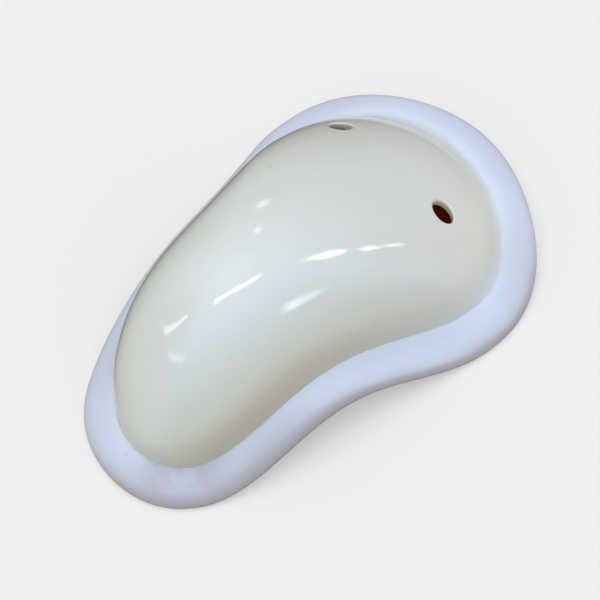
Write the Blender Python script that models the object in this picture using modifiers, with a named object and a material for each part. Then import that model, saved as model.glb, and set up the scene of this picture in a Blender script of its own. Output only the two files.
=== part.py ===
"""Groin guard: a hard moulded cup whose edge sits in the groove of a soft bumper.

Metres, +Z up. The guard lies as it would on a table, open side down: +Y is its wide end,
-Y its narrow end, and it is the same on both sides of the X = 0 plane. The origin is under
the middle of the bumper, on the surface that the guard rests on.
"""
import bmesh
import bpy
import math

# Driving dimensions
FOOT_LENGTH = 0.132       # the cup's foot line, tip to tip
FOOT_WIDTH = 0.0792       # the cup's foot line at its broadest
CROWN_HEIGHT = 0.0585     # top of the cup above the table
CROWN_SETBACK = 0.0170    # the crown lies this far towards the narrow end
WALL = 0.0024             # the cup's moulded wall
FLARE = 0.0025            # width of the hollow curve where the cup turns out to its foot
EDGE_ARCH = 0.0128        # how far the edge arches up at its sides
PAD_REACH = 0.0105        # the bumper stands out this far past the foot line
PAD_THICKNESS = 0.0072    # the bumper's crest above its underside
FOOT_HEIGHT = 0.0050      # the foot line above the bumper's underside
GROOVE_FLOOR = 0.0015     # bottom of the groove above the bumper's underside
LIP_WIDTH = 0.0026        # the bumper's inner lip, inside the cup
LIP_HEIGHT = 0.0028       # top of that lip above the bumper's underside
FIT = 0.0003              # clearance between the cup and the groove
VENT_DIAMETER = 0.0073
VENT_ANGLE = math.radians(30.6)   # the vents' place round the outline, from the wide tip
VENT_RING = 0.80                  # their place between the crown, 0, and the foot line, 1
VENT_LEAN = math.radians(22)      # their axis leans from the vertical to the wide end
VENT_CUT = 0.018                  # length of the drill that cuts a vent

# Shape of the cup, as shares: the rings turn from the foot line's plan at the bottom
# to a plain ellipse near the crown, a share of the foot line's width and length.
ELLIPSE_WIDTH = 0.96
ELLIPSE_LENGTH = 0.93
ELLIPSE_BLEND = 0.69
CROWN_FLATNESS = 2.13

# Stations every 30 degrees round one half of the outline, wide tip first.
# fullness: half width against that of an ellipse as wide as FOOT_WIDTH
# lift: height of the edge, as a share of EDGE_ARCH; below 0 it lies flat on the table
# reach: share of PAD_REACH
# flare: share of FLARE
# swell: how round the wall is, from 1, a straight slope, to 2, a quarter of an ellipse
COLUMNS = ("fullness", "lift", "reach", "flare", "swell")
STATIONS = (
    (1.26, 0.52, 1.07, 1.00, 1.13),
    (1.36, 0.48, 0.98, 1.00, 1.14),
    (1.16, -0.04, 1.13, 0.80, 1.42),
    (0.77, 0.74, 1.06, 0.40, 1.48),
    (0.74, 0.72, 0.94, 0.30, 1.50),
    (0.88, -0.03, 1.01, 0.50, 1.40),
    (1.01, -0.02, 0.98, 0.60, 1.15),
)

# Section of the bumper outside the cup, from the groove out and under:
# share of the reach, share of the thickness
PAD_SECTION = (
    (0.14, 0.93),
    (0.32, 1.00),
    (0.54, 0.98),
    (0.74, 0.86),
    (0.89, 0.67),
    (0.98, 0.44),
    (1.00, 0.25),
    (0.95, 0.08),
    (0.86, 0.00),
)

# Fineness of the meshes
AROUND = 60               # steps round the outline
RINGS = 15                # rings of the cup from its foot line to its crown
RING_CROWDING = 1.8       # above 1, the rings crowd towards the foot line
VENT_SIDES = 24
SHARP_ANGLE = math.radians(40)


def harmonics(values):
    """Weights of the cosine series that runs through evenly spaced stations."""
    last = len(values) - 1
    weights = []
    for order in range(last + 1):
        total = 0.0
        for place, value in enumerate(values):
            share = 0.5 if place in (0, last) else 1.0
            total += share * value * math.cos(math.pi * order * place / last)
        weights.append(total * (1.0 if order in (0, last) else 2.0) / last)
    return weights


SERIES = {name: harmonics([row[column] for row in STATIONS])
          for column, name in enumerate(COLUMNS)}


def at(name, angle):
    """A column of the stations, read smoothly at any angle round the outline."""
    return sum(weight * math.cos(order * angle)
               for order, weight in enumerate(SERIES[name]))


# The foot line stands off the origin so that the bumper as a whole is centred on it.
CENTRING = PAD_REACH * (at("reach", math.pi) - at("reach", 0.0)) / 2


def foot_point(angle):
    """The cup's foot line in plan."""
    x = FOOT_WIDTH / 2 * at("fullness", angle) * math.sin(angle)
    y = FOOT_LENGTH / 2 * math.cos(angle) + CENTRING
    return x, y


def outward(angle):
    """Unit normal of the foot line in plan."""
    step = 1e-4
    x0, y0 = foot_point(angle - step)
    x1, y1 = foot_point(angle + step)
    length = math.hypot(x1 - x0, y1 - y0)
    return (y0 - y1) / length, (x1 - x0) / length


def lift(angle):
    """Height of the bumper's underside above the table."""
    return EDGE_ARCH * max(0.0, at("lift", angle))


def edge_point(angle, out, height):
    """A point beside the foot line: out from it in plan, and up from the underside."""
    x, y = foot_point(angle)
    nx, ny = outward(angle)
    return x + nx * out, y + ny * out, lift(angle) + height


def cup_point(angle, ring):
    """A point of the cup's outer face, from the crown (ring 0) to the foot line (ring 1)."""
    foot_x, foot_y = foot_point(angle)
    blend = ELLIPSE_BLEND * (1 - ring)
    x = (1 - blend) * foot_x + blend * ELLIPSE_WIDTH * FOOT_WIDTH / 2 * math.sin(angle)
    y = (1 - blend) * (foot_y + CROWN_SETBACK)
    y += blend * ELLIPSE_LENGTH * FOOT_LENGTH / 2 * math.cos(angle)
    base = lift(angle) + FOOT_HEIGHT
    rise = (1 - ring ** CROWN_FLATNESS) ** (1 / at("swell", angle))
    inset = (1 - ring) * math.hypot(foot_x, foot_y + CROWN_SETBACK)
    rise *= 1 - math.exp(-(inset / (FLARE * at("flare", angle))) ** 2)
    return ring * x, ring * y - CROWN_SETBACK, base + (CROWN_HEIGHT - base) * rise


def loft(name, rings, pole=None, endless=False):
    """A surface through closed rings of points: open, or closed by a pole, or back to its start."""
    mesh = bmesh.new()
    rows = [[mesh.verts.new(point) for point in ring] for ring in rings]
    if endless:
        rows.append(rows[0])
    count = len(rows[0])
    for lower, upper in zip(rows, rows[1:]):
        for i in range(count):
            j = (i + 1) % count
            mesh.faces.new((lower[i], lower[j], upper[j], upper[i]))
    if pole:
        top = mesh.verts.new(pole)
        for i in range(count):
            mesh.faces.new((rows[-1][i], rows[-1][(i + 1) % count], top))
    data = bpy.data.meshes.new(name)
    mesh.to_mesh(data)
    mesh.free()
    return data


def material(name, colour, roughness):
    made = bpy.data.materials.new(name)
    made.use_nodes = True
    shader = made.node_tree.nodes["Principled BSDF"]
    shader.inputs["Base Color"].default_value = (*colour, 1.0)
    shader.inputs["Roughness"].default_value = roughness
    shader.inputs["Metallic"].default_value = 0.0
    return made


def add(data, collection, finish):
    """An object in a collection, with its material, smooth but for its sharp edges."""
    data.materials.append(finish)
    data.shade_smooth()
    data.set_sharp_from_angle(angle=SHARP_ANGLE)
    made = bpy.data.objects.new(data.name, data)
    collection.objects.link(made)
    return made


def angles():
    """Angles round the outline, counter-clockwise as seen from above."""
    return [-2 * math.pi * i / AROUND for i in range(AROUND)]


def make_vent_cutter(side, collection):
    """A drill through the wall at one of the two vents."""
    place = cup_point(side * VENT_ANGLE, VENT_RING)
    bpy.ops.mesh.primitive_cylinder_add(
        vertices=VENT_SIDES, radius=VENT_DIAMETER / 2, depth=VENT_CUT,
        location=place, rotation=(-VENT_LEAN, 0.0, 0.0))
    cutter = bpy.context.object
    cutter.name = "vent_cutter_right" if side > 0 else "vent_cutter_left"
    for other in list(cutter.users_collection):
        other.objects.unlink(cutter)
    collection.objects.link(cutter)
    cutter.hide_render = True
    cutter.display_type = "WIRE"
    return cutter


def make_cup(parts, cutters):
    """The cup: one open surface with a skirt that stands in the groove, made solid."""
    skirt = [edge_point(angle, 0.0, GROOVE_FLOOR + FIT) for angle in angles()]
    rings = [skirt]
    for row in range(RINGS):
        ring = 1 - (row / RINGS) ** RING_CROWDING
        rings.append([cup_point(angle, ring) for angle in angles()])
    crown = (0.0, -CROWN_SETBACK, CROWN_HEIGHT)
    cup = add(loft("cup_shell", rings, crown), parts,
              material("ivory_plastic", (0.66, 0.67, 0.60), 0.18))
    solid = cup.modifiers.new("wall", "SOLIDIFY")
    solid.thickness = WALL
    solid.offset = -1.0
    solid.use_even_offset = True
    for side in (-1, 1):
        cut = cup.modifiers.new("vent", "BOOLEAN")
        cut.object = make_vent_cutter(side, cutters)
        cut.operation = "DIFFERENCE"
        cut.solver = "EXACT"


def make_pad(parts):
    """The bumper: a ring whose section has a groove for the cup's skirt.

    The stations go clockwise here, because the section goes up its inner side first.
    """
    groove_in = -(WALL + FIT)
    lip_in = groove_in - LIP_WIDTH
    lip_round = LIP_WIDTH / 4
    inner = (
        (lip_in + lip_round, 0.0),
        (lip_in, lip_round),
        (lip_in, LIP_HEIGHT - lip_round),
        (lip_in + lip_round, LIP_HEIGHT),
        (groove_in, LIP_HEIGHT),
        (groove_in, GROOVE_FLOOR),
        (FIT, GROOVE_FLOOR),
        (FIT, FOOT_HEIGHT),
    )
    sections = []
    for angle in reversed(angles()):
        reach = PAD_REACH * at("reach", angle)
        outer = tuple((out * reach, up * PAD_THICKNESS) for out, up in PAD_SECTION)
        sections.append([edge_point(angle, out, up) for out, up in inner + outer])
    # Each ring of the loft is one point of the section carried once round the outline.
    rings = [list(ring) for ring in zip(*sections)]
    add(loft("rim_pad", rings, endless=True), parts,
        material("soft_white", (0.78, 0.82, 0.90), 0.55))


def main():
    for old in list(bpy.data.objects):
        bpy.data.objects.remove(old, do_unlink=True)
    parts = bpy.data.collections.new("groin_guard")
    cutters = bpy.data.collections.new("cutters")
    for collection in (parts, cutters):
        bpy.context.scene.collection.children.link(collection)
    make_cup(parts, cutters)
    make_pad(parts)


main()
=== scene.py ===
"""Looks of the groin guard: a glossy ivory cup in a soft white bumper, on a pale floor.

Metres, +Z up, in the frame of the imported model: +Y is the wide end, -Y the narrow end,
and the guard lies on its bumper at Z = 0.
"""
import bmesh
import bpy
import functools
import math
from mathutils import Matrix, Vector


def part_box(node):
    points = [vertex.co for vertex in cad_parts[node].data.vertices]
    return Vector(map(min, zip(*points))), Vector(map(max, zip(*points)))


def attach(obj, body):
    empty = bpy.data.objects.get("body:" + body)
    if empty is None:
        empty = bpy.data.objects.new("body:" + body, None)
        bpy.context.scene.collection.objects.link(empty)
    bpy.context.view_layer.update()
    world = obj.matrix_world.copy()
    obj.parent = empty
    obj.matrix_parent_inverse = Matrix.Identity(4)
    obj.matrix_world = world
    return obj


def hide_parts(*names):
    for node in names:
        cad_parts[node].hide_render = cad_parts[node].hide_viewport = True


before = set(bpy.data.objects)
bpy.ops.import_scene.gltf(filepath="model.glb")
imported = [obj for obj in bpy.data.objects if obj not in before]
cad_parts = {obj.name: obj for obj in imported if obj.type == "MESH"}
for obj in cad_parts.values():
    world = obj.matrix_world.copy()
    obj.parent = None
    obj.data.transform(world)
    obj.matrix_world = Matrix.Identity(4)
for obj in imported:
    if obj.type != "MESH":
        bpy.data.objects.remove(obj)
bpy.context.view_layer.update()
CUP_LOW, CUP_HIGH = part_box("cup_shell")

# Sizes of the real thing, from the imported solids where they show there
FOOT_LENGTH = CUP_HIGH.y - CUP_LOW.y
FOOT_WIDTH = 0.0792
CROWN_HEIGHT = CUP_HIGH.z
CROWN_SETBACK = 0.0170    # the crown lies this far towards the narrow end
WALL = 0.0024
FLARE = 0.0025            # width of the hollow curve at the cup's foot
FLARE_START = 0.45        # the curve starts this share of its width past its flat foot
SPREAD = 0.0010           # the soft edge lets the wide end's foot spread this much
EDGE_ARCH = 0.0128        # height of the arches of the edge
FOOT_SHADE_WIDTH = 0.0030      # painted shade makes the cup's tone browner this far up from its foot
FOOT_HEIGHT = 0.0050      # the foot line lies this far above the bumper's underside
PAD_REACH = 0.0105
PAD_THICKNESS = 0.0072
LIP_WIDTH = 0.0026
LIP_HEIGHT = 0.0028
GROOVE_FLOOR = 0.0015
FIT = 0.0003              # clearance of the cup's skirt in the groove
SNUG = 0.00006            # the soft mouth sits up to this deep in the cup's foot
LAP = 0.12                # share of the hollow curve that the mouth laps over
VENT_DIAMETER = 0.0069
VENT_ANGLE = math.radians(29.9)
VENT_RING = 0.808         # share of the way from the crown to the foot line
VENT_LEAN = math.radians(22)      # the drills lean this far towards the wide end
VENT_ROUND = 0.0007       # rounding of the vents' edges

# Shape of the cup, whose rings turn from the foot line's outline into an ellipse
ELLIPSE_WIDTH = 0.96      # share of FOOT_WIDTH
ELLIPSE_LENGTH = 0.93     # share of FOOT_LENGTH
ELLIPSE_BLEND = 0.69      # the ellipse's share in the outline at the crown
CROWN_FLATNESS = 2.13     # the higher, the flatter the crown

# Stations every 30 degrees round one half of the outline, wide tip first. Their columns:
# fullness of the foot line, lift as a share of EDGE_ARCH, reach as one of PAD_REACH, flare
# as one of FLARE, swell of the wall up to the crown, spread as one of SPREAD, and how much
# shade is painted at the foot
COLUMNS = ("fullness", "lift", "reach", "flare", "swell", "spread", "foot_shade")
STATIONS = (
    (1.26, 0.52, 1.07, 1.25, 1.13, 0.85, 0.00),
    (1.36, 0.48, 0.98, 1.20, 1.14, 0.75, 0.00),
    (1.16, -0.04, 1.13, 0.95, 1.42, 0.30, 0.20),
    (0.77, 0.74, 1.06, 0.55, 1.48, 0.00, 0.80),
    (0.74, 0.72, 0.94, 0.45, 1.50, 0.00, 1.00),
    (0.88, -0.03, 1.01, 0.65, 1.40, 0.00, 0.90),
    (1.01, -0.02, 0.98, 0.80, 1.15, 0.00, 0.50),
)

# Section of the bumper from the cup outwards: share of the reach, share of the thickness
PAD_SECTION = (
    (0.05, 0.762),
    (0.18, 0.785),
    (0.36, 0.785),
    (0.55, 0.740),
    (0.73, 0.660),
    (0.88, 0.530),
    (0.97, 0.37),
    (1.00, 0.22),
    (0.95, 0.07),
    (0.86, 0.00),
)

# Fineness of the meshes
AROUND = 216
RINGS = 56
RING_CROWDING = 1.5       # above 1, the rings lie closer together at the foot
VENT_BLOCK = 6            # the patch round a vent spans this many cells each way
VENT_LOOPS = 6            # loops of points from the patch's rim to the vent's edge,
ROUND_LOOPS = 4           # and over its rounding
PAD_AROUND = 360
PAD_STEPS = 5             # steps from one of the section's points to the next,
LIP_STEPS = 3             # and from one of the lip's to the next
SHARP_ANGLE = math.radians(50)    # an edge that turns more than this is shaded sharp
DRILL_ROUNDS = 6          # rounds of the search for the vent's edge on the wall
SKIRT_ROUNDS = 24         # rounds of the search for the inner end of the wall,
SKIRT_SEARCH = 0.85, 1.0  # and the rings between which it lies

# Marks that the photo shows: a speck on the cup, two on the bumper, and a smudge on it
CUP_SPECK = (-0.0152, 0.0107, 0.0499)
BUMPER_SPECKS = ((0.0040, 0.0673, 0.0123), (0.0007, -0.0689, 0.0057))
SMUDGE = (0.0165, -0.0625, 0.0055)

# Colours, each with its darker and lighter tone where it is cloudy
CUP_TONES = ((0.766, 0.756, 0.685, 1.0), (0.794, 0.793, 0.740, 1.0))
CUP_PAINTED_LIGHT = (0.850, 0.873, 0.845, 1.0)
CUP_DRILLED = (0.66, 0.53, 0.27, 1.0)
CUP_FOOT_SHADE = (0.665, 0.620, 0.510, 1.0)
CUP_SPECKED = (0.20, 0.15, 0.10, 1.0)
BUMPER_TONES = ((0.634, 0.668, 0.750, 1.0), (0.665, 0.699, 0.786, 1.0))
BUMPER_PAINTED_LIGHT = (0.735, 0.772, 0.825, 1.0)
BUMPER_FLANK_SHADE = (0.475, 0.443, 0.463, 1.0)
BUMPER_SMUDGED = (0.50, 0.50, 0.55, 1.0)
BUMPER_WORN = (0.520, 0.485, 0.540, 1.0)
BUMPER_SPECKED = (0.25, 0.22, 0.25, 1.0)
FLOOR_TONES = ((0.573, 0.525, 0.480, 1.0), (0.579, 0.531, 0.486, 1.0))
FLOOR_GLOW = (0.350, 0.350, 0.350, 1.0)
CARD_TONE = (0.10, 0.012, 0.006, 1.0)
CARD_GLOW = (0.024, 0.003, 0.003, 1.0)
EDGE_TONE = 0.35          # share of the drilled tone that each rounded edge takes up

# Painted light and painted shade, each on the sides that face one way, and that way
CUP_PAINTED_LIGHT_SIDE = (0.85, -0.53, 0.0)
CUP_FOOT_SHADE_SIDE = (0.95, -0.30, 0.0)
BUMPER_FLANK_SHADE_SIDE = (0.80, -0.60, 0.0)

# The camera of the photo: where it looks, from where, and how it is rolled
AIM = Vector((0.00944, -0.00512, 0.025))
CAMERA_AZIMUTH = math.radians(62.86)
CAMERA_ELEVATION = math.radians(64.13)
CAMERA_ROLL = math.radians(-17.21)
CAMERA_DISTANCE = 0.3176
FOCAL_PIXELS = 1133.1
IMAGE_PIXELS = 600
SENSOR = 36.0
CLIP_START = 0.01

# The room: wide glows overhead, from two sides and from below, and lamp tubes whose streaks
# show on what is glossy. The glows from below stand for the light that a floor throws back.
# Places are degrees round from +X and degrees above the floor.
# Each glow: place, narrowness, strength, colour
GLOWS = (
    ((0.0, 90.0), 3.0, 1.45, (1.04, 1.0, 0.82, 1.0)),
    ((0.0, 90.0), 12.0, 1.50, (0.90, 1.0, 1.53, 1.0)),
    ((10.0, 58.0), 6.0, 0.65, (0.40, 1.0, 1.80, 1.0)),
    ((-27.0, -20.0), 5.0, 0.75, (1.20, 1.0, 0.55, 1.0)),
    ((63.0, -20.0), 5.0, 0.80, (1.45, 1.0, 0.62, 1.0)),
    ((243.0, -20.0), 5.0, 1.15, (1.0, 1.0, 0.95, 1.0)),
    ((153.0, 0.0), 6.0, 0.30, (1.05, 1.0, 0.65, 1.0)),
)
LAMP_DISTANCE = 6.0
LAMP_COLOUR = (0.95, 1.0, 1.0)
# Each tube: from, to, breadth in degrees, brightness
LAMPS = (
    ((-50.0, 64.0), (17.0, 58.3), 6.0, 13.0),
    ((-115.3, 17.0), (-106.0, 43.0), 4.4, 8.0),
    ((-101.0, 10.5), (-68.0, 14.5), 4.6, 4.2),
    ((25.0, 40.0), (50.5, 37.0), 9.5, 13.0),
    ((47.6, 27.0), (53.3, 22.5), 5.4, 13.0),
    ((53.5, 20.0), (56.3, 13.8), 3.8, 9.0),
    ((3.0, -1.2), (3.5, 7.2), 0.9, 20.0),
    ((10.6, 9.0), (12.9, 8.4), 2.0, 3.0),
    ((132.5, 54.5), (130.0, 52.0), 5.0, 9.0),
    ((142.0, 31.7), (137.0, 31.6), 6.0, 6.0),
)

# The floor, and two dark cards: a table just above it and a shade just below it
FLOOR_SIDE = 80.0
TABLE_HEIGHT = 0.0002
TABLE_WIDTH = 0.040
TABLE_LENGTH = 0.024
TABLE_SHIFT = 0.009       # the table's middle lies this far beyond the vents
SHADE_HEIGHT = -0.0006
SHADE_REACH = 0.9         # the shade reaches out this share of the bumper's reach,
SHADE_ARCH = 1.2          # and where the edge arches up, this much of the arch's height more

# The mix node's sockets for colours, which share their names with those for numbers
MIX_FIRST, MIX_SECOND, MIX_RESULT = 6, 7, 2


def harmonics(values):
    """Weights of the cosine series that runs through evenly spaced stations."""
    last = len(values) - 1
    weights = []
    for order in range(last + 1):
        total = 0.0
        for place, value in enumerate(values):
            share = 0.5 if place in (0, last) else 1.0
            total += share * value * math.cos(math.pi * order * place / last)
        weights.append(total * (1.0 if order in (0, last) else 2.0) / last)
    return weights


SERIES = {name: harmonics([row[column] for row in STATIONS])
          for column, name in enumerate(COLUMNS)}


@functools.cache
def at(name, angle):
    """A column of the stations, read smoothly at any angle round the outline."""
    return sum(weight * math.cos(order * angle)
               for order, weight in enumerate(SERIES[name]))


CENTRING = PAD_REACH * (at("reach", math.pi) - at("reach", 0.0)) / 2


@functools.cache
def foot_point(angle):
    """The cup's foot line in plan."""
    x = FOOT_WIDTH / 2 * at("fullness", angle) * math.sin(angle)
    y = FOOT_LENGTH / 2 * math.cos(angle) + CENTRING
    return x, y


@functools.cache
def outward(angle):
    """Unit normal of the foot line in plan."""
    step = 1e-4
    x0, y0 = foot_point(angle - step)
    x1, y1 = foot_point(angle + step)
    length = math.hypot(x1 - x0, y1 - y0)
    return (y0 - y1) / length, (x1 - x0) / length


@functools.cache
def lift(angle):
    """Height of the bumper's underside above the floor."""
    return EDGE_ARCH * max(0.0, at("lift", angle))


@functools.cache
def spread(angle):
    """How far the foot stands out past the foot line."""
    return SPREAD * max(0.0, at("spread", angle))


def edge_point(angle, out, height):
    """A point beside the foot line: out from it in plan, and up from the underside."""
    x, y = foot_point(angle)
    nx, ny = outward(angle)
    return Vector((x + nx * out, y + ny * out, lift(angle) + height))


def foot_end(angle):
    """Where the cup's foot ends in plan."""
    return edge_point(angle, spread(angle), 0.0).xy


@functools.cache
def foot_distance(angle):
    """Distance in plan from the crown to the foot line."""
    x, y = foot_point(angle)
    return math.hypot(x, y + CROWN_SETBACK)


def inset_at(angle, ring):
    """How far inside the foot line a ring is."""
    return (1 - ring) * foot_distance(angle)


def flare_share(angle, ring):
    """How far a place is from the foot line, against the width of the hollow curve there."""
    return inset_at(angle, ring) / (FLARE * at("flare", angle))


def cup_point(angle, ring):
    """A point of the cup's outer face, from the crown (ring 0) to the foot line (ring 1)."""
    foot_x, foot_y = foot_point(angle)
    blend = ELLIPSE_BLEND * (1 - ring)
    x = (1 - blend) * foot_x + blend * ELLIPSE_WIDTH * FOOT_WIDTH / 2 * math.sin(angle)
    y = (1 - blend) * (foot_y + CROWN_SETBACK)
    y += blend * ELLIPSE_LENGTH * FOOT_LENGTH / 2 * math.cos(angle)
    base = lift(angle) + FOOT_HEIGHT
    rise = max(0.0, 1 - ring ** CROWN_FLATNESS) ** (1 / at("swell", angle))
    share = flare_share(angle, ring)
    rise *= 1 - math.exp(-(share + FLARE_START) ** 2)
    nx, ny = outward(angle)
    out = spread(angle) * math.exp(-share ** 2)
    return Vector((ring * x + nx * out, ring * y + ny * out - CROWN_SETBACK,
                   base + (CROWN_HEIGHT - base) * rise))


def wall_point(angle, ring, depth):
    """A point of the cup's wall, at a depth below its outer face."""
    if not depth:
        return cup_point(angle, ring)
    step = 1e-3
    along = cup_point(angle + step, ring) - cup_point(angle - step, ring)
    down = cup_point(angle, min(1.0, ring + step)) - cup_point(angle, ring - step)
    normal = down.cross(along).normalized()
    if normal.z < 0:
        normal.negate()
    return cup_point(angle, ring) - normal * depth


class Vent:
    """The drill of one vent: its middle, its axis, and two directions across it."""

    def __init__(self, side):
        self.angle = side * VENT_ANGLE
        self.middle = cup_point(self.angle, VENT_RING)
        self.axis = Vector((0.0, math.sin(VENT_LEAN), math.cos(VENT_LEAN)))
        self.right = Vector((1.0, 0.0, 0.0))
        self.ahead = self.axis.cross(self.right)

    def across(self, point):
        """Where a point lies across the drill."""
        offset = point - self.middle
        return offset.dot(self.right), offset.dot(self.ahead)

    def on_wall(self, turn, radius, depth):
        """The angle and ring where the wall meets a circle about the drill's axis."""
        goal = radius * math.cos(turn), radius * math.sin(turn)
        angle, ring = self.angle, VENT_RING
        step = 1e-4
        for _ in range(DRILL_ROUNDS):
            here = self.across(wall_point(angle, ring, depth))
            turned = self.across(wall_point(angle + step, ring, depth))
            lowered = self.across(wall_point(angle, ring + step, depth))
            a, b = (turned[0] - here[0]) / step, (lowered[0] - here[0]) / step
            c, d = (turned[1] - here[1]) / step, (lowered[1] - here[1]) / step
            miss = goal[0] - here[0], goal[1] - here[1]
            scale = a * d - b * c
            angle += (miss[0] * d - miss[1] * b) / scale
            ring += (miss[1] * a - miss[0] * c) / scale
        return angle, ring


VENTS = [Vent(-1), Vent(1)]


def ring_values():
    """The rings of the grid's rows, from the foot line up."""
    return [1 - (row / RINGS) ** RING_CROWDING for row in range(RINGS)]


def grid_angle(column):
    """The angle of one of the grid's columns."""
    return -2 * math.pi * column / AROUND


def block_outline(vent):
    """The cells round a vent: its first column and row, and the corners once round it."""
    column = round(-vent.angle / (2 * math.pi) * AROUND) - VENT_BLOCK
    values = ring_values()
    row = min(range(RINGS), key=lambda i: abs(values[i] - VENT_RING)) - VENT_BLOCK
    span = 2 * VENT_BLOCK
    corners = [(column + i, row) for i in range(span)]
    corners += [(column + span, row + i) for i in range(span)]
    corners += [(column + span - i, row + span) for i in range(span)]
    corners += [(column, row + span - i) for i in range(span)]
    return column, row, corners


def make_skin(mesh, depth, shrink):
    """One face of the cup as a grid with a patch round each vent.

    shrink(angle) is the ring at which this face ends. The result is its foot row and, for
    each vent, the last loop of points round it.
    """
    values = ring_values()
    hollow = mesh.verts.layers.float["hollow"]
    foot_shade = mesh.verts.layers.float["foot_shade"]
    grid = {}

    def place(column, row):
        return grid_angle(column), values[row]

    def point(angle, ring):
        return wall_point(angle, ring * shrink(angle), depth)

    def vertex(column, row):
        key = (column % AROUND, row)
        if key not in grid:
            angle, ring = place(column, row)
            vert = mesh.verts.new(point(angle, ring))
            vert[hollow] = math.exp(-flare_share(angle, ring) ** 2)
            # Painted shade: how much of the darker tone at the foot this point takes
            share = inset_at(angle, ring) / FOOT_SHADE_WIDTH
            vert[foot_shade] = math.exp(-share ** 2) * max(0.0, at("foot_shade", angle))
            grid[key] = vert
        return grid[key]

    blocked = set()
    for vent in VENTS:
        first, low, _ = block_outline(vent)
        for i in range(2 * VENT_BLOCK):
            for j in range(2 * VENT_BLOCK):
                blocked.add(((first + i) % AROUND, low + j))
    for row in range(RINGS - 1):
        for column in range(AROUND):
            if (column, row) not in blocked:
                mesh.faces.new((vertex(column, row), vertex(column + 1, row),
                                vertex(column + 1, row + 1), vertex(column, row + 1)))
    crown = mesh.verts.new((0.0, -CROWN_SETBACK, CROWN_HEIGHT - depth))
    for column in range(AROUND):
        mesh.faces.new((vertex(column, RINGS - 1), vertex(column + 1, RINGS - 1), crown))

    edges = []
    for vent in VENTS:
        corners = block_outline(vent)[2]
        loop = [vertex(*corner) for corner in corners]
        turns = [math.atan2(*reversed(vent.across(cup_point(*place(*corner)))))
                 for corner in corners]
        goals = []
        for turn in turns:
            angle, ring = vent.on_wall(turn, VENT_DIAMETER / 2 + VENT_ROUND, depth)
            goals.append((angle, ring / shrink(angle)))
        for step in range(1, VENT_LOOPS + 1):
            share = step / VENT_LOOPS
            new = []
            for corner, goal in zip(corners, goals):
                angle, ring = place(*corner)
                if abs(angle - goal[0]) > math.pi:
                    angle += math.copysign(2 * math.pi, goal[0] - angle)
                new.append(mesh.verts.new(point(angle + (goal[0] - angle) * share,
                                                ring + (goal[1] - ring) * share)))
            bridge(mesh, loop, new)
            loop = new
        edges.append(round_edge(mesh, vent, loop, turns, depth))
    return [vertex(column, 0) for column in range(AROUND)], edges


def round_edge(mesh, vent, loop, turns, depth):
    """Rounding of a vent's edge, from the loop on the face into the drilled wall."""
    drilled = mesh.verts.layers.float["drilled"]
    inward = vent.axis * (VENT_ROUND if depth else -VENT_ROUND)
    corners = [wall_point(*vent.on_wall(turn, VENT_DIAMETER / 2, depth), depth)
               for turn in turns]
    starts = [vert.co.copy() for vert in loop]
    for step in range(1, ROUND_LOOPS + 1):
        share = step / ROUND_LOOPS
        new = []
        for start, corner in zip(starts, corners):
            near = start.lerp(corner, share)
            far = corner.lerp(corner + inward, share)
            vert = mesh.verts.new(near.lerp(far, share))
            vert[drilled] = 1 - EDGE_TONE * share if depth else EDGE_TONE * share
            new.append(vert)
        bridge(mesh, loop, new)
        loop = new
    return loop


def bridge(mesh, loop, other):
    """Faces between two closed loops of as many points."""
    count = len(loop)
    for i in range(count):
        j = (i + 1) % count
        mesh.faces.new((loop[i], loop[j], other[j], other[i]))


def inner_end(angle):
    """The ring at which the cup's inner face comes down to the inside of its skirt."""
    foot = foot_end(angle)
    low, high = SKIRT_SEARCH
    for _ in range(SKIRT_ROUNDS):
        ring = (low + high) / 2
        here = wall_point(angle, ring, WALL)
        if (here.xy - foot).length > WALL:
            low = ring
        else:
            high = ring
    return (low + high) / 2


def new_object(name, mesh, finish):
    """A piece of the scene from a mesh and its material."""
    bmesh.ops.recalc_face_normals(mesh, faces=mesh.faces)
    data = bpy.data.meshes.new(name)
    mesh.to_mesh(data)
    mesh.free()
    data.materials.append(finish)
    made = bpy.data.objects.new(name, data)
    bpy.context.scene.collection.objects.link(made)
    return made


def smooth(piece):
    """Shade a piece smoothly up to its sharp edges."""
    piece.data.shade_smooth()
    piece.data.set_sharp_from_angle(angle=SHARP_ANGLE)


def make_cup(finish):
    """The cup's shell with its two drilled, rounded vents."""
    ends = {}

    def inner_ring(angle):
        key = round(angle, 6)
        if key not in ends:
            ends[key] = inner_end(angle)
        return ends[key]

    mesh = bmesh.new()
    for name in ("drilled", "hollow", "foot_shade"):
        mesh.verts.layers.float.new(name)
    drilled = mesh.verts.layers.float["drilled"]
    outer_foot, outer_edges = make_skin(mesh, 0.0, lambda angle: 1.0)
    inner_foot, inner_edges = make_skin(mesh, WALL, inner_ring)
    for outer, inner in zip(outer_edges, inner_edges):
        middle = [mesh.verts.new((a.co + b.co) / 2) for a, b in zip(outer, inner)]
        for vert in middle:
            vert[drilled] = 1 - EDGE_TONE
        bridge(mesh, outer, middle)
        bridge(mesh, middle, inner)
    bottom = GROOVE_FLOOR + FIT
    angles = [grid_angle(column) for column in range(AROUND)]
    outer_skirt = [mesh.verts.new(edge_point(angle, spread(angle), bottom))
                   for angle in angles]
    inner_skirt = [mesh.verts.new(edge_point(angle, spread(angle) - WALL, bottom))
                   for angle in angles]
    bridge(mesh, outer_foot, outer_skirt)
    bridge(mesh, outer_skirt, inner_skirt)
    bridge(mesh, inner_skirt, inner_foot)
    cup = new_object("cup", mesh, finish)
    smooth(cup)
    return cup


def smooth_run(points, steps):
    """Points along a smooth curve through the given ones."""
    run = []
    for i in range(len(points) - 1):
        before = points[max(i - 1, 0)]
        a, b = points[i], points[i + 1]
        after = points[min(i + 2, len(points) - 1)]
        for step in range(steps):
            t = step / steps
            run.append(tuple(
                0.5 * (2 * q + (r - p) * t + (2 * p - 5 * q + 4 * r - s) * t ** 2
                       + (3 * q - p - 3 * r + s) * t ** 3)
                for p, q, r, s in zip(before, a, b, after)))
    return run + [points[-1]]


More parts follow.
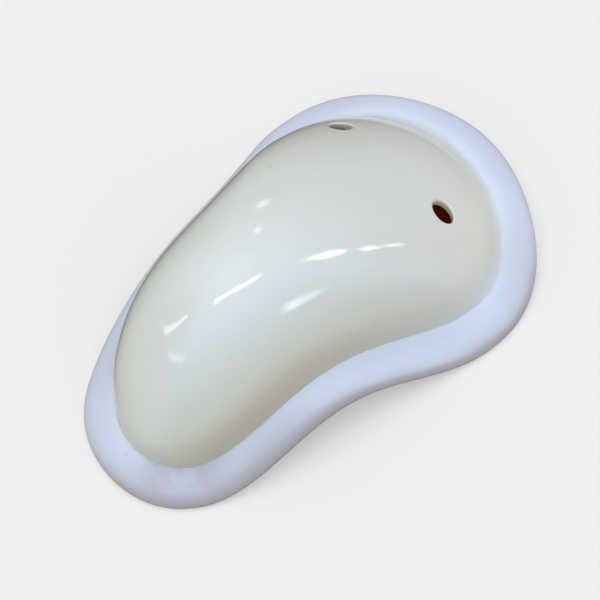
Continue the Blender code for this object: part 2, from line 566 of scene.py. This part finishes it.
def bumper_section(angle):
    """The bumper's section at one angle, in two parts.

    The first is the inside: lip, groove and the mouth's underside. The second is the
    outside, from the mouth's lap over the cup's foot.
    """
    groove_in = -(WALL + FIT)
    lip_in = groove_in - LIP_WIDTH
    lip_round = LIP_WIDTH / 3
    lip = smooth_run([(lip_in + 2 * lip_round, 0.0), (lip_in + lip_round / 3, lip_round / 3),
                      (lip_in, LIP_HEIGHT / 2),
                      (lip_in + lip_round / 3, LIP_HEIGHT - lip_round / 3),
                      (lip_in + 2 * lip_round, LIP_HEIGHT)], LIP_STEPS)
    groove = [(groove_in, LIP_HEIGHT), (groove_in, GROOVE_FLOOR), (FIT, GROOVE_FLOOR),
              (FIT, FOOT_HEIGHT - FIT)]
    foot = spread(angle)
    inside = [edge_point(angle, foot + out, up) for out, up in lip + groove]
    lap = LAP * FLARE * at("flare", angle) / foot_distance(angle)
    under = [wall_point(angle, 1 - lap * share, SNUG) for share in (0.0, 0.5, 1.0)]
    reach = PAD_REACH * at("reach", angle) - foot
    outside = [wall_point(angle, 1 - lap, SNUG / 2)]
    outside += [edge_point(angle, foot + out * reach, up * PAD_THICKNESS)
                for out, up in PAD_SECTION]
    return inside + under, smooth_run(outside, PAD_STEPS)


def make_bumper(finish):
    """The bumper: a soft ring whose groove holds the cup's skirt."""
    mesh = bmesh.new()
    outness = mesh.verts.layers.float.new("outness")
    sections = []
    for i in range(PAD_AROUND):
        angle = 2 * math.pi * i / PAD_AROUND
        inside, outside = [[mesh.verts.new(point) for point in part]
                           for part in bumper_section(angle)]
        for vert in outside:
            vert[outness] = (vert.co.xy - foot_end(angle)).length / PAD_REACH
        sections.append(inside + outside)
    for i in range(PAD_AROUND):
        bridge(mesh, sections[i], sections[(i + 1) % PAD_AROUND])
    bumper = new_object("bumper", mesh, finish)
    smooth(bumper)
    return bumper


class Nodes:
    """A short way to write a material's nodes."""

    def __init__(self, name):
        self.material = bpy.data.materials.new(name)
        self.material.use_nodes = True
        self.tree = self.material.node_tree
        self.shader = self.tree.nodes["Principled BSDF"]
        self.places = self.add("ShaderNodeTexCoord").outputs["Object"]

    def add(self, kind, **settings):
        """A new node with its settings."""
        node = self.tree.nodes.new(kind)
        for name, value in settings.items():
            setattr(node, name, value)
        return node

    def put(self, value, socket):
        """A number, colour or another node's output goes into a socket."""
        if isinstance(value, bpy.types.NodeSocket):
            self.tree.links.new(value, socket)
        else:
            socket.default_value = value

    def noise(self, scale, detail, roughness, vector=None):
        """Clouds: how many to a metre, how much detail they have and how rough it is."""
        node = self.add("ShaderNodeTexNoise")
        self.put(vector or self.places, node.inputs["Vector"])
        node.inputs["Scale"].default_value = scale
        node.inputs["Detail"].default_value = detail
        node.inputs["Roughness"].default_value = roughness
        return node.outputs["Fac"]

    def ramp(self, value, low, high, start=0.0, end=1.0):
        """A value from low to high goes smoothly from start to end."""
        node = self.add("ShaderNodeMapRange", interpolation_type="SMOOTHSTEP")
        self.put(value, node.inputs["Value"])
        for name, number in (("From Min", low), ("From Max", high),
                             ("To Min", start), ("To Max", end)):
            node.inputs[name].default_value = number
        return node.outputs["Result"]

    def math(self, operation, first, second):
        """One step of arithmetic."""
        node = self.add("ShaderNodeMath", operation=operation)
        self.put(first, node.inputs[0])
        self.put(second, node.inputs[1])
        return node.outputs[0]

    def mix(self, factor, first, second):
        """The first colour, turned into the second by the factor."""
        node = self.add("ShaderNodeMix", data_type="RGBA")
        self.put(factor, node.inputs["Factor"])
        self.put(first, node.inputs[MIX_FIRST])
        self.put(second, node.inputs[MIX_SECOND])
        return node.outputs[MIX_RESULT]

    def stretched(self, scale, turn):
        """The object's places, scaled along its axes and turned about +Z."""
        node = self.add("ShaderNodeMapping")
        self.put(self.places, node.inputs["Vector"])
        node.inputs["Scale"].default_value = scale
        node.inputs["Rotation"].default_value = (0.0, 0.0, turn)
        return node.outputs["Vector"]

    def specks(self, spacing, size, share):
        """Small round specks: one in every few cells of a loose grid."""
        node = self.add("ShaderNodeTexVoronoi")
        self.put(self.places, node.inputs["Vector"])
        node.inputs["Scale"].default_value = 1 / spacing
        near = self.ramp(node.outputs["Distance"], size / spacing * 0.5, size / spacing, 1.0, 0.0)
        pick = self.add("ShaderNodeSeparateColor")
        self.put(node.outputs["Color"], pick.inputs["Color"])
        chosen = self.math("LESS_THAN", pick.outputs["Red"], share)
        return self.math("MULTIPLY", near, chosen)

    def spot(self, place, near, far):
        """1 as far as near from a place, falling to 0 at far."""
        node = self.add("ShaderNodeVectorMath", operation="DISTANCE")
        self.put(self.places, node.inputs[0])
        self.put(place, node.inputs[1])
        return self.ramp(node.outputs["Value"], near, far, 1.0, 0.0)

    def attribute(self, name):
        """A value that the mesh carries at its points."""
        return self.add("ShaderNodeAttribute", attribute_name=name).outputs["Fac"]

    def facing(self, towards):
        """How far the surface faces a direction, from -1 to 1."""
        node = self.add("ShaderNodeVectorMath", operation="DOT_PRODUCT")
        self.put(self.add("ShaderNodeNewGeometry").outputs["Normal"], node.inputs[0])
        self.put(towards, node.inputs[1])
        return node.outputs["Value"]

    def bump(self, value, distance, strength, before=None):
        """Relief of a value, on top of the one before."""
        node = self.add("ShaderNodeBump")
        node.inputs["Strength"].default_value = strength
        node.inputs["Distance"].default_value = distance
        self.put(value, node.inputs["Height"])
        if before:
            self.put(before, node.inputs["Normal"])
        return node.outputs["Normal"]

    def finish(self, **values):
        """Set the shader's sockets, and give the material."""
        for name, value in values.items():
            self.put(value, self.shader.inputs[name.replace("_", " ")])
        return self.material


def cup_plastic():
    """Glossy ivory plastic, a little uneven in colour, with fine rubs and specks, painted light
    on the walls that face one side and painted shade at the foot there.
    """
    n = Nodes("cup_plastic")
    clouds = n.ramp(n.noise(28.0, 4.0, 0.55), 0.35, 0.7)
    colour = n.mix(clouds, *CUP_TONES)
    specks = n.specks(spacing=0.007, size=0.00022, share=0.10)
    colour = n.mix(n.math("MULTIPLY", specks, 0.6), colour, CUP_SPECKED)
    speck = n.math("MULTIPLY", n.spot(CUP_SPECK, 0.0002, 0.0008), 0.25)
    colour = n.mix(speck, colour, CUP_SPECKED)
    # Painted light: the cup is paler on the walls that face one side
    painted_light = n.ramp(n.facing(CUP_PAINTED_LIGHT_SIDE), 0.25, 0.80)
    colour = n.mix(painted_light, colour, CUP_PAINTED_LIGHT)
    colour = n.mix(n.attribute("drilled"), colour, CUP_DRILLED)
    # Painted shade: the foot is darker and browner on the walls that face one side
    near_side = n.ramp(n.facing(CUP_FOOT_SHADE_SIDE), 0.0, 0.5)
    foot_shade = n.math("MULTIPLY", n.attribute("foot_shade"), near_side)
    colour = n.mix(foot_shade, colour, CUP_FOOT_SHADE)
    rubs = n.ramp(n.noise(60.0, 6.0, 0.6, n.stretched((1.0, 14.0, 1.0), 0.5)), 0.60, 0.78)
    smears = n.ramp(n.noise(45.0, 5.0, 0.6), 0.45, 0.75)
    roughness = n.math("ADD", n.math("MULTIPLY", rubs, 0.05), n.math("MULTIPLY", smears, 0.03))
    roughness = n.math("ADD", roughness, 0.075)
    # The hollow curve at the foot is duller than the rest
    hollow = n.ramp(n.attribute("hollow"), 0.15, 0.9)
    roughness = n.math("ADD", roughness, n.math("MULTIPLY", hollow, 0.35))
    gloss = n.ramp(n.attribute("hollow"), 0.01, 0.30, 0.50, 0.06)
    ripple = n.bump(n.noise(180.0, 2.0, 0.4), distance=0.00005, strength=0.30)
    grain = n.bump(n.noise(1400.0, 2.0, 0.5), distance=0.00001, strength=0.2, before=ripple)
    return n.finish(Base_Color=colour, Roughness=roughness, Specular_IOR_Level=gloss,
                    Normal=grain, IOR=1.38,
                    Subsurface_Weight=0.10, Subsurface_Scale=0.003,
                    Subsurface_Radius=(1.0, 0.9, 0.6))


def bumper_rubber():
    """Soft white bumper with a satin skin, faint smudges and a few specks, painted light near its
    mouth and painted shade on the flank that faces one side.
    """
    n = Nodes("bumper_rubber")
    clouds = n.ramp(n.noise(35.0, 5.0, 0.55), 0.35, 0.7)
    colour = n.mix(clouds, *BUMPER_TONES)
    smudge = n.ramp(n.noise(70.0, 6.0, 0.65), 0.58, 0.80)
    colour = n.mix(n.math("MULTIPLY", smudge, 0.18), colour, BUMPER_SMUDGED)
    specks = n.specks(spacing=0.008, size=0.00025, share=0.08)
    colour = n.mix(n.math("MULTIPLY", specks, 0.6), colour, BUMPER_SPECKED)
    for place in BUMPER_SPECKS:
        speck = n.math("MULTIPLY", n.spot(place, 0.0001, 0.0007), 0.35)
        colour = n.mix(speck, colour, BUMPER_SPECKED)
    # Painted light: the bumper is paler near its mouth, where the cup shades it
    painted_light = n.ramp(n.attribute("outness"), 0.0, 0.35, 0.7, 0.0)
    colour = n.mix(painted_light, colour, BUMPER_PAINTED_LIGHT)
    worn = n.math("MULTIPLY", n.spot(SMUDGE, 0.004, 0.020),
                  n.ramp(n.noise(110.0, 5.0, 0.6), 0.35, 0.60, 0.55, 1.0))
    colour = n.mix(worn, colour, BUMPER_WORN)
    # Painted shade: the bumper is greyer on the flank that faces one side
    flank_shade = n.ramp(n.facing(BUMPER_FLANK_SHADE_SIDE), 0.0, 0.68)
    colour = n.mix(flank_shade, colour, BUMPER_FLANK_SHADE)
    roughness = n.ramp(n.noise(90.0, 5.0, 0.6), 0.3, 0.8, 0.42, 0.60)
    dents = n.bump(n.noise(55.0, 3.0, 0.5), distance=0.0004, strength=0.35)
    grain = n.bump(n.noise(2200.0, 2.0, 0.5), distance=0.00003, strength=0.6, before=dents)
    return n.finish(Base_Color=colour, Roughness=roughness, Normal=grain, IOR=1.45,
                    Subsurface_Weight=0.05, Subsurface_Scale=0.002,
                    Subsurface_Radius=(0.9, 1.0, 1.2))


def floor_finish():
    """Pale card that glows a little of itself, so that the guard's shadow stays faint."""
    n = Nodes("floor_finish")
    tone = n.ramp(n.noise(6.0, 3.0, 0.5), 0.3, 0.7)
    colour = n.mix(tone, *FLOOR_TONES)
    return n.finish(Base_Color=colour, Roughness=1.0, Specular_IOR_Level=0.0,
                    Emission_Color=FLOOR_GLOW, Emission_Strength=1.0)


def card_finish():
    """Dark red card, as bright in the guard's shadow as the photo shows it."""
    n = Nodes("card_finish")
    # Its glow is painted light, which lifts it inside the guard's shadow
    return n.finish(Base_Color=CARD_TONE, Roughness=1.0, Specular_IOR_Level=0.0,
                    Emission_Color=CARD_GLOW, Emission_Strength=1.0)


def make_floor():
    """A plain pale floor under the guard."""
    half = FLOOR_SIDE / 2
    mesh = bmesh.new()
    corners = [mesh.verts.new((x, y, 0.0))
               for x, y in ((-half, -half), (half, -half), (half, half), (-half, half))]
    mesh.faces.new(corners)
    floor = new_object("floor", mesh, floor_finish())
    # The glows from below reach the guard through the floor, which throws no light back.
    floor.visible_diffuse = False
    floor.visible_glossy = False
    floor.visible_transmission = False
    floor.visible_shadow = False


def make_card(name, outline):
    """A dark card under the guard."""
    mesh = bmesh.new()
    mesh.faces.new([mesh.verts.new(point) for point in outline])
    card = new_object(name, mesh, card_finish())
    return card


def make_cards():
    """The dark table that the photo shows through a vent, and a shade below the floor.

    The shade isn't seen. It keeps the light from below out of the cup.
    """
    angles = [-grid_angle(column) for column in range(AROUND)]
    middle = VENTS[0].middle.y + TABLE_SHIFT
    make_card("table", [Vector((TABLE_WIDTH / 2 * math.sin(angle),
                                middle + TABLE_LENGTH / 2 * math.cos(angle), TABLE_HEIGHT))
                        for angle in angles])
    rim = []
    for angle in angles:
        out = SHADE_REACH * PAD_REACH * at("reach", angle) + SHADE_ARCH * lift(angle)
        place = edge_point(angle, out, 0.0)
        rim.append(Vector((place.x, place.y, SHADE_HEIGHT)))
    make_card("shade", rim).visible_camera = False


def direction(azimuth, elevation):
    """Unit vector towards a place in the room, in degrees from +X and above the floor."""
    turn, rise = math.radians(azimuth), math.radians(elevation)
    return Vector((math.cos(turn) * math.cos(rise), math.sin(turn) * math.cos(rise),
                   math.sin(rise)))


def make_room():
    """Soft light from the wide glows, added up."""
    world = bpy.data.worlds.new("room")
    bpy.context.scene.world = world
    world.use_nodes = True
    tree = world.node_tree
    places = tree.nodes.new("ShaderNodeTexCoord")
    light = tree.nodes["Background"]
    light.inputs["Strength"].default_value = 0.0
    for place, narrowness, strength, colour in GLOWS:
        towards = tree.nodes.new("ShaderNodeVectorMath")
        towards.operation = "DOT_PRODUCT"
        tree.links.new(places.outputs["Generated"], towards.inputs[0])
        towards.inputs[1].default_value = direction(*place)
        amount = towards.outputs["Value"]
        for operation, number in (("MAXIMUM", 0.0), ("POWER", narrowness),
                                  ("MULTIPLY", strength)):
            node = tree.nodes.new("ShaderNodeMath")
            node.operation = operation
            tree.links.new(amount, node.inputs[0])
            node.inputs[1].default_value = number
            amount = node.outputs[0]
        glow = tree.nodes.new("ShaderNodeBackground")
        glow.inputs["Color"].default_value = colour
        tree.links.new(amount, glow.inputs["Strength"])
        both = tree.nodes.new("ShaderNodeAddShader")
        tree.links.new(light.outputs[0], both.inputs[0])
        tree.links.new(glow.outputs[0], both.inputs[1])
        light = both
    tree.links.new(light.outputs[0], tree.nodes["World Output"].inputs["Surface"])


def make_tube(name, start, end, breadth, brightness):
    """A lamp tube of the room, seen only as a streak on what is glossy."""
    first, last = direction(*start), direction(*end)
    middle = (first + last).normalized()
    along = (last - first).normalized()
    across = middle.cross(along)
    data = bpy.data.lights.new(name, "AREA")
    data.shape = "RECTANGLE"
    data.size = 2 * LAMP_DISTANCE * math.tan(first.angle(last) / 2)
    data.size_y = LAMP_DISTANCE * math.radians(breadth)
    data.energy = brightness * math.pi * data.size * data.size_y
    data.color = LAMP_COLOUR
    lamp = bpy.data.objects.new(name, data)
    bpy.context.scene.collection.objects.link(lamp)
    turn = Matrix((along, across, middle)).transposed()
    lamp.matrix_world = Matrix.Translation(AIM + middle * LAMP_DISTANCE) @ turn.to_4x4()
    lamp.visible_camera = False
    lamp.visible_diffuse = False


def make_lights():
    """The glows of the room and its lamp tubes."""
    make_room()
    for number, (start, end, breadth, brightness) in enumerate(LAMPS, 1):
        make_tube(f"tube_{number}", start, end, breadth, brightness)


def make_camera():
    """The camera of the photo."""
    data = bpy.data.cameras.new("camera")
    camera = bpy.data.objects.new("camera", data)
    scene = bpy.context.scene
    scene.collection.objects.link(camera)
    scene.camera = camera
    data.sensor_width = SENSOR
    data.lens = FOCAL_PIXELS / IMAGE_PIXELS * SENSOR
    data.clip_start = CLIP_START
    back = Vector((math.sin(CAMERA_AZIMUTH) * math.cos(CAMERA_ELEVATION),
                   -math.cos(CAMERA_AZIMUTH) * math.cos(CAMERA_ELEVATION),
                   math.sin(CAMERA_ELEVATION)))
    right = Vector((math.cos(CAMERA_AZIMUTH), math.sin(CAMERA_AZIMUTH), 0.0))
    up = back.cross(right)
    rolled_right = right * math.cos(CAMERA_ROLL) + up * math.sin(CAMERA_ROLL)
    rolled_up = up * math.cos(CAMERA_ROLL) - right * math.sin(CAMERA_ROLL)
    turn = Matrix((rolled_right, rolled_up, back)).transposed()
    camera.matrix_world = Matrix.Translation(AIM + back * CAMERA_DISTANCE) @ turn.to_4x4()


def main():
    """The guard and its staging."""
    cup = make_cup(cup_plastic())
    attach(cup, "root")
    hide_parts("cup_shell")
    bumper = make_bumper(bumper_rubber())
    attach(bumper, "root")
    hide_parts("rim_pad")
    make_floor()
    make_cards()
    make_lights()
    make_camera()
    bpy.context.scene.view_settings.view_transform = "Standard"


main()
